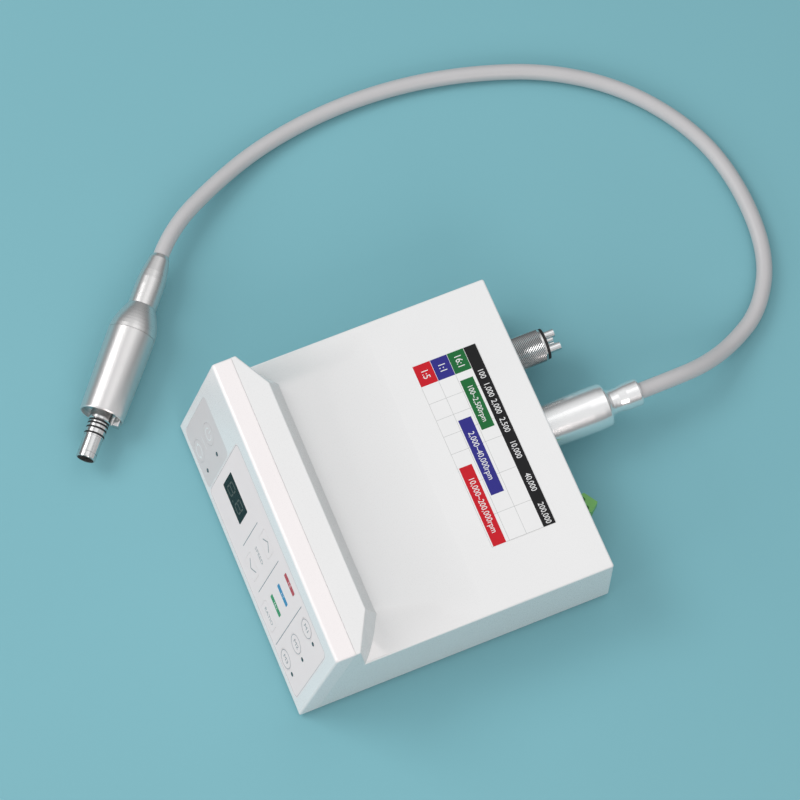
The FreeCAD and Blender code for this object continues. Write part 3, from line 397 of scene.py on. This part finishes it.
def light_print(bm):
    """Three upright dividers, the word between the speed keys, and the film's thin outline."""
    grey, pale = range(2)
    for u, s0, s1 in ((-4.5, 18.2, 44.5), (18.6, 14.0, 50.0), (44.5, 8.7, 54.0)):
        prism(bm, bar(u - 0.2, u + 0.2, s0, s1), PRINT_LOW, PRINT_HIGH, grey)
    text_into(bm, "SPEED", 3.5, (7.0, 31.1), PRINT_LOW, PRINT_HIGH, pale, weight=0.03)
    inset, width, r = 0.45, 0.22, 3.0
    u0, u1, s0, s1 = (edge + shift for edge, shift in zip(LIGHT_FILM, (inset, -inset, inset, -inset)))
    for rect in (bar(u0 + r, u1 - r, s0, s0 + width), bar(u0 + r, u1 - r, s1 - width, s1),
                 bar(u0, u0 + width, s0 + r, s1 - r), bar(u1 - width, u1, s0 + r, s1 - r)):
        prism(bm, rect, PRINT_LOW, PRINT_HIGH, pale)
    corners = ((u1 - r, s1 - r, 0), (u0 + r, s1 - r, 90), (u0 + r, s0 + r, 180), (u1 - r, s0 + r, 270))
    for u, s, start in corners:
        arc_band(bm, (u, s), r - width / 2, width, start, start + 90, PRINT_LOW, PRINT_HIGH, pale, steps=8)


panel_piece("light_film_print", "unit", [ink_grey, ink_pale], light_print)


def grey_print(bm):
    """Short line between the power and direction keys."""
    prism(bm, bar(-63.0, -55.5, 21.8, 22.1), PRINT_LOW, PRINT_HIGH)


panel_piece("grey_film_print", "unit", [ink_white], grey_print)


def power_icon(bm):
    """Open ring with one stroke through its gap."""
    u, s = POWER_KEY
    arc_band(bm, (u, s), 3.0, 0.5, 125, 415, PRINT_LOW, PRINT_HIGH, steps=40)
    prism(bm, bar(u - 0.25, u + 0.25, s + 0.6, s + 4.0), PRINT_LOW, PRINT_HIGH)


def direction_icon(bm):
    """Two arc arrows that chase each other round a circle."""
    u, s = DIRECTION_KEY
    for start in (20, 200):
        arc_band(bm, (u, s), 3.3, 0.5, start, start + 135, PRINT_LOW, PRINT_HIGH, steps=20)
        root, tip = math.radians(start + 133), math.radians(start + 162)
        head = [(2.35, root), (4.25, root), (3.3, tip)]
        prism(bm, [(u + r * math.cos(a), s + r * math.sin(a)) for r, a in head], PRINT_LOW, PRINT_HIGH)


panel_piece("power_icon", "key_power", [ink_white], power_icon)
panel_piece("direction_icon", "key_direction", [ink_white], direction_icon)
panel_piece("speed_up_icon", "key_speed_up", [ink_grey],
            chevron((3.6, 43.0), (7.2, 47.0), (11.0, 43.1)))
panel_piece("speed_down_icon", "key_speed_down", [ink_grey],
            chevron((3.0, 20.1), (6.8, 16.3), (10.9, 20.1)))


def ratio_icon(bm):
    text_into(bm, "RATIO", 3.3, (RATIO_U, RATIO_KEY_S), PRINT_LOW, PRINT_HIGH, weight=0.03)


panel_piece("ratio_icon", "key_ratio", [ink_pale], ratio_icon)


def memory_icon(number, s):
    """Drawing of a memory key's ring and its number."""
    def draw(bm):
        arc_band(bm, (MEMORY_U, s), 4.75, 0.32, 0, 360, PRINT_LOW, PRINT_HIGH, steps=48)
        text_into(bm, "M" + str(number), 4.0, (MEMORY_U, s), PRINT_LOW, PRINT_HIGH)
    return draw


for number, s in ((1, 49.6), (2, 31.4), (3, 13.2)):
    panel_piece("memory_icon_" + str(number), "key_memory_" + str(number), [ink_grey],
                memory_icon(number, s))


def ratio_text(label, s):
    """Drawing of a gear ratio on its lens."""
    def draw(bm):
        text_into(bm, label, 2.5, (RATIO_U, s), FILM_TOP + 0.02, FILM_TOP + 0.05)
    return draw


for label, s, slot in (("1:5", 51.0, "ratio_red"), ("1:1", 38.8, "ratio_blue"),
                       ("16:1", 26.6, "ratio_green")):
    panel_piece("ratio_text_" + slot, "unit", [ink_white], ratio_text(label, s))


def segment(start, end):
    """Outline of a digit's bar between two of the digit's joints, pointed at both ends."""
    thick, gap = 0.42, 0.28
    along = (Vector(end) - Vector(start)).normalized()
    side = Vector((-along.y, along.x)) * thick
    tip, far_tip = Vector(start) + along * gap, Vector(end) - along * gap
    neck, far_neck = tip + along * thick, far_tip - along * thick
    return [tip, neck - side, far_neck - side, far_tip, far_neck + side, neck + side]


def digit_segments(bm):
    """Two unlit seven-bar digits and a point, thin on the window's face."""
    low, high = FILM_TOP, FILM_TOP + 0.015
    half_w, half_h, slant, middle = 2.55, 4.0, 0.08, 31.2
    bars = [((-half_w, y), (half_w, y)) for y in (-half_h, 0.0, half_h)]
    for x in (-half_w, half_w):
        bars += [((x, -half_h), (x, 0.0)), ((x, 0.0), (x, half_h))]
    for u in (-29.0, -19.2):
        for start, end in bars:
            outline = [(u + x + y * slant, middle + y) for x, y in segment(start, end)]
            prism(bm, outline, low, high)
    arc_band(bm, (-24.4, 27.1), 0.28, 0.5, 0, 360, low, high, steps=12)


panel_piece("window_digits", "unit", [segment_dim], digit_segments)


# ---- speed chart on the deck -------------------------------------------------------------------
def speed_chart(bm):
    """Ratio cells in a column, one speed range in each ratio's row, and a black scale above them."""
    low, mid, high = DECK_Z + 0.17, DECK_Z + 0.20, DECK_Z + 0.22
    red, blue, green, black, white, line = range(6)
    left, ratio_end, right = -49.2, -38.0, 48.8
    cells = (
        (left, ratio_end, 31.0, 39.8, red),
        (left, ratio_end, 40.0, 48.5, blue),
        (left, ratio_end, 48.7, 57.1, green),
        (left, right, 57.3, 63.5, black),
        (-34.0, -7.0, 49.3, 55.9, green),
        (-15.6, 25.0, 40.6, 47.2, blue),
        (6.8, right, 31.7, 38.2, red),
    )
    for x0, x1, y0, y1, ink in cells:
        prism(bm, bar(x0, x1, y0, y1), low, mid, ink)
    half_line = 0.1
    for y in (31.0, 39.9, 48.6):
        prism(bm, bar(ratio_end + 0.1, right, y - half_line, y + half_line), low, low + 0.012, line)
    for x in (-28.5, -19.5, -10.5, -1.0, 16.0, 34.0, 48.7):
        prism(bm, bar(x - half_line, x + half_line, 31.0, 57.2), low, low + 0.011, line)
    words_at = [
        ("1:5", -43.6, 35.4, 5.0),
        ("1:1", -43.6, 44.2, 5.0),
        ("16:1", -43.6, 52.9, 5.0),
        ("100~2,500rpm", -20.5, 52.6, 3.9),
        ("2,000~40,000rpm", 4.7, 43.9, 4.2),
        ("10,000~200,000rpm", 27.8, 35.0, 4.2),
    ]
    scale_y = 60.4
    words_at += [(words, x, scale_y, 4.1) for words, x in (
        ("100", -33.7), ("1,000", -24.8), ("2,000", -15.5), ("2,500", -5.4), ("10,000", 8.0),
        ("40,000", 25.8))]
    words_at.append(("200,000", 42.4, scale_y, 4.0))
    for words, x, y, size in words_at:
        text_into(bm, words, size, (x, y), mid, high, white, squeeze=0.86, weight=0.01)


bm = bmesh.new()
speed_chart(bm)
add_piece("speed_chart_print", finish_mesh(bm, "speed_chart_print"), "unit",
          [ink_red, ink_blue, ink_green, ink_black, ink_white, ink_line])


# ---- threaded stub -----------------------------------------------------------------------------
def stub_thread():
    """Sleeve of fine slanting ridges round the stub, with a plain band towards its end; mm."""
    bm = bmesh.new()
    ridges, lead = 44, 1.40                   # ridges round it, and the length in which they turn by one
    ridge_radii = (8.30, 8.16, 8.02, 8.16)    # crest, flank, groove, flank
    start, knurl_end, end = 0.35, 16.1, 17.1  # distances behind the rear wall
    inner, band, step = 7.95, 8.03, 0.1       # bore, plain band's radius, and the step down to it
    count = 56                                # lengths that the ridges are cut into
    around = ridges * len(ridge_radii)

    def loop(y, radii):
        verts = []
        for j in range(around):
            a = 2 * math.pi * (j / around + y / (lead * ridges))
            r = radii[j % len(radii)]
            verts.append(bm.verts.new(((UNIT_PORT_X + r * math.cos(a)) * MM, (HALF_D + y) * MM,
                                       (PORT_Z + r * math.sin(a)) * MM)))
        return verts

    loops = [loop(start, (inner,))]
    loops += [loop(start + (knurl_end - start) * i / count, ridge_radii) for i in range(count + 1)]
    loops += [loop(knurl_end + step, (band,)), loop(end, (band,)), loop(end, (inner,))]
    twist = round(around * (end - start) / (lead * ridges))      # in vertices, from one end to the other
    loops.append([loops[0][(j + twist) % around] for j in range(around)])
    for row, (lower, upper) in enumerate(zip(loops, loops[1:])):
        for j in range(around):
            k = (j + 1) % around
            face = bm.faces.new((lower[j], lower[k], upper[k], upper[j]))
            in_groove = 1 <= row <= count and j % len(ridge_radii) in (1, 2)
            face.material_index = 1 if in_groove else 0
    return finish_mesh(bm, "stub_thread")


groove_shade = new_material("groove_shade", (0.22, 0.22, 0.225), 0.35, metallic=0.8, tone=0.1,
                            tone_size=2)
add_piece("stub_thread", stub_thread(), "unit", [looks["plated_brass"], groove_shade])


# ---- stage -------------------------------------------------------------------------------------
def floor(half):
    """Plain square floor at height zero, from -half to half in metres."""
    mesh = bpy.data.meshes.new("floor")
    mesh.from_pydata(((-half, -half, 0), (half, -half, 0), (half, half, 0), (-half, half, 0)), (),
                     ((0, 1, 2, 3),))
    mesh.materials.append(new_material("pale_floor", (0.20, 0.45, 0.505), 0.7, specular=0.2, tone=0.01,
                                       tone_size=200))
    thing = bpy.data.objects.new("floor", mesh)
    bpy.context.scene.collection.objects.link(thing)


floor(3.0)


def area_light(name, place, aim, size, power, tint=(1, 1, 1)):
    """Soft box of the given (width, height) in metres and power in watts."""
    data = bpy.data.lights.new(name, "AREA")
    data.shape = "RECTANGLE"
    data.size, data.size_y = size
    data.energy = power
    data.color = tint
    lamp = bpy.data.objects.new(name, data)
    bpy.context.scene.collection.objects.link(lamp)
    lamp.location = place
    lamp.rotation_euler = (Vector(aim) - Vector(place)).to_track_quat("-Z", "Y").to_euler()


area_light("key", (-0.95, -0.95, 1.45), (-0.03, 0.0, 0.0), (0.9, 0.9), 10.3)
area_light("front", (-0.1, -1.7, 0.7), (0.0, -0.07, 0.03), (1.4, 0.7), 6.6)
area_light("top", (-0.35, 0.75, 1.7), (-0.03, 0.05, 0.0), (1.1, 0.9), 1.4)
area_light("side", (1.4, -0.3, 0.9), (0.0, 0.0, 0.02), (0.9, 0.8), 7.5, (1.0, 0.88, 0.86))
bpy.context.scene.view_settings.view_transform = "Standard"


def studio(horizon, zenith, strength):
    """Soft light from all round, darker near the horizon and brightest overhead."""
    world = bpy.data.worlds.new("studio")
    world.use_nodes = True
    tree = world.node_tree
    background = tree.nodes["Background"]
    background.inputs["Strength"].default_value = strength
    direction = tree.nodes.new("ShaderNodeTexCoord").outputs["Generated"]
    split = tree.nodes.new("ShaderNodeSeparateXYZ")
    tree.links.new(direction, split.inputs["Vector"])
    height = tree.nodes.new("ShaderNodeMapRange")
    height.interpolation_type = "SMOOTHSTEP"
    height.inputs["From Min"].default_value = 0.15
    height.inputs["From Max"].default_value = 0.85
    tree.links.new(split.outputs["Z"], height.inputs["Value"])
    blend = tree.nodes.new("ShaderNodeMix")
    blend.data_type = "RGBA"
    blend.inputs["A"].default_value = (*horizon, 1)
    blend.inputs["B"].default_value = (*zenith, 1)
    tree.links.new(height.outputs["Result"], blend.inputs["Factor"])
    tree.links.new(blend.outputs["Result"], background.inputs["Color"])
    bpy.context.scene.world = world


studio((0.22, 0.23, 0.235), (0.95, 0.97, 0.985), 0.80)
